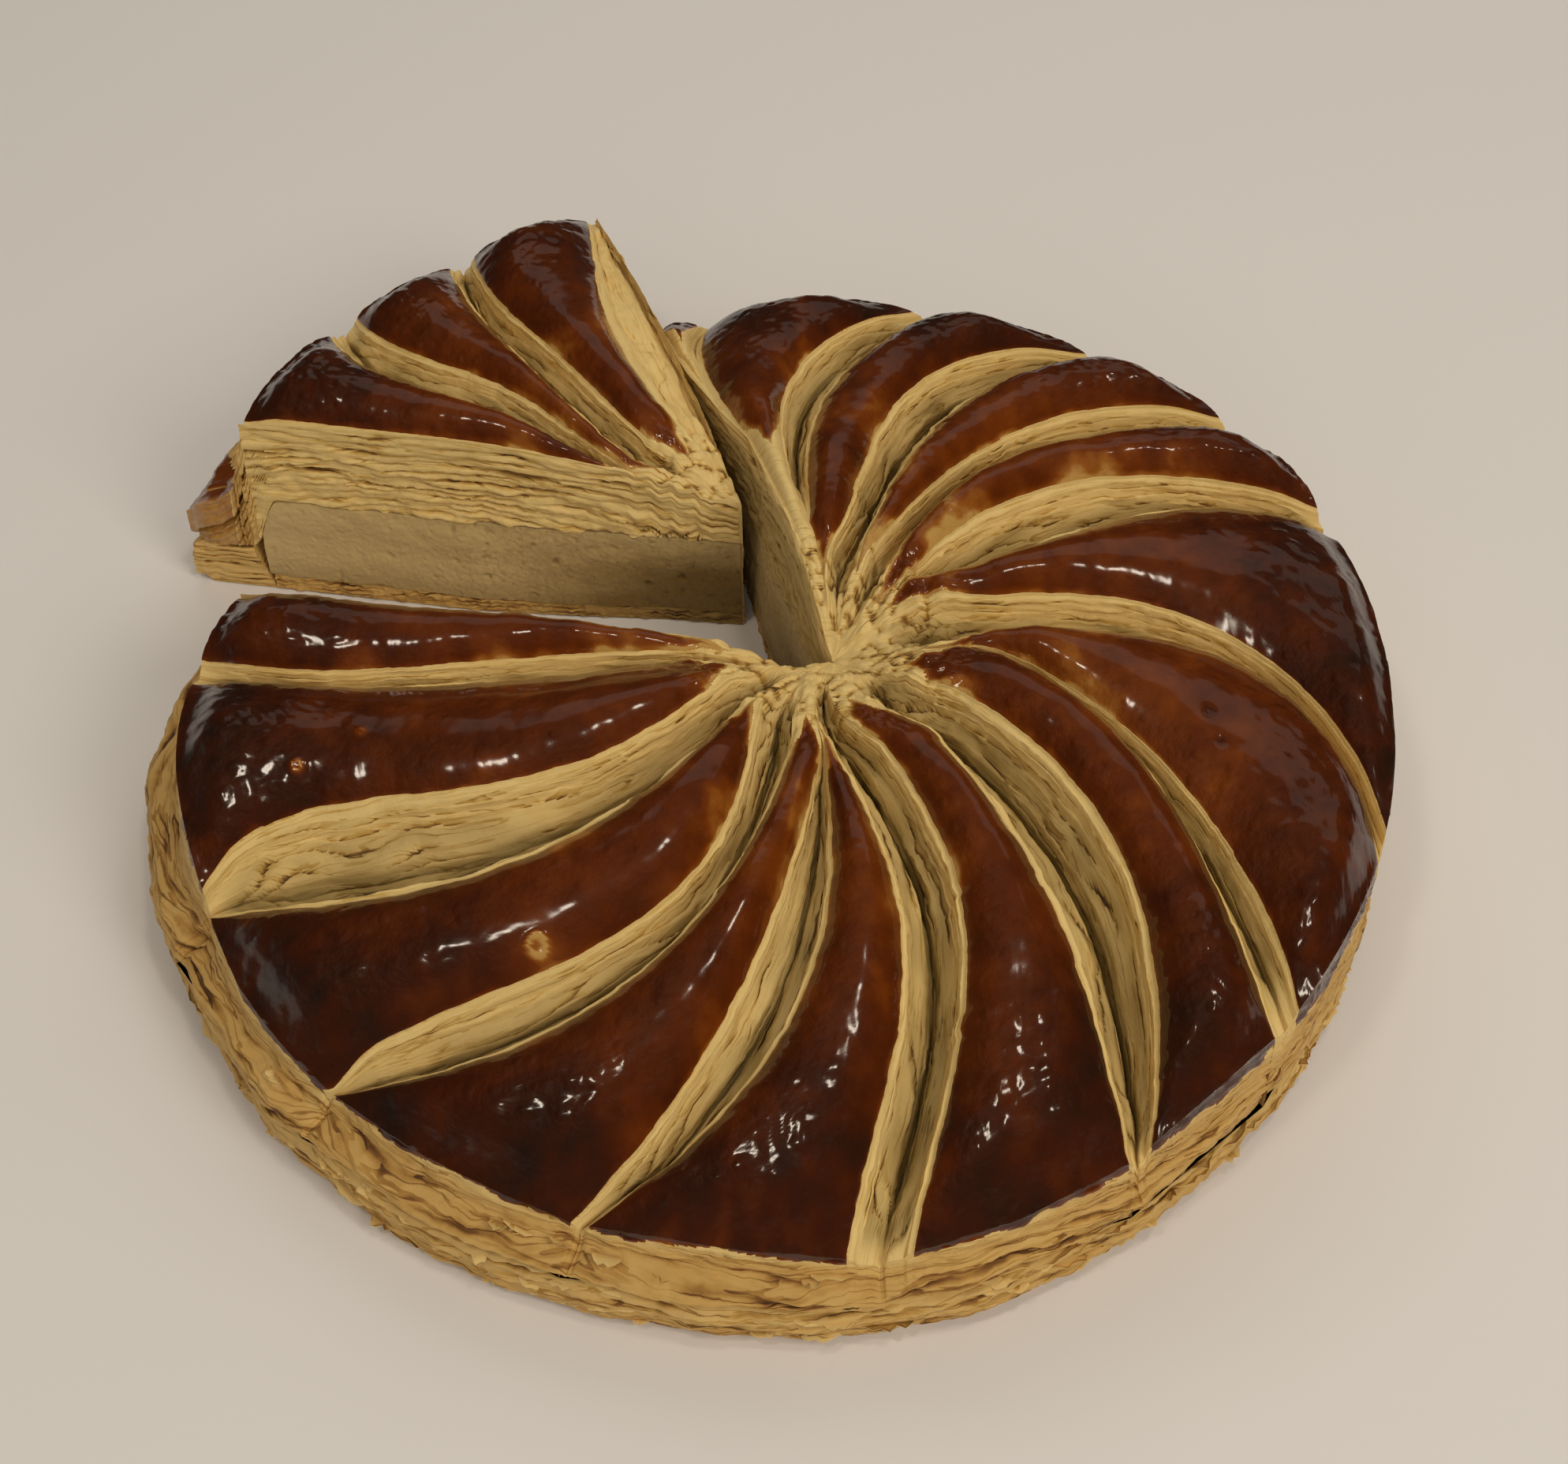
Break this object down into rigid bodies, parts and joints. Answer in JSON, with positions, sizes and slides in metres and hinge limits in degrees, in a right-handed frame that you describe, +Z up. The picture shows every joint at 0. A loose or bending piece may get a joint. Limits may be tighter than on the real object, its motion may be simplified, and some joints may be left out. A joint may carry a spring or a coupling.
{
  "type": "galette des rois",
  "caption": "Round puff pastry cake with a glossy browned top scored in a swirl of curved petals, and an almond filling that shows where a slice is cut and drawn out of its gap.",
  "frame": {"origin": "centre of the bounding box of cake and slice, on the flat underside", "axes": "+Z up from the underside, +Y towards the side that the slice is drawn out to, -X towards the cut gap"},
  "size_m": [0.2095, 0.2337, 0.0419],
  "materials": {
    "baked_pastry": "matt, dry and flaky, golden brown",
    "almond_filling": "matt, moist and finely granular, greenish cream",
    "glazed_pastry": "glossy egg glaze, browned, over pale flaky layers"
  },
  "bodies": {
    "root": {"cake_bottom_pastry": "baked_pastry", "cake_filling": "almond_filling", "cake_top_pastry": "glazed_pastry", "slice_bottom_pastry": "baked_pastry", "slice_filling": "almond_filling", "slice_top_pastry": "glazed_pastry"}
  },
  "joints": []
}
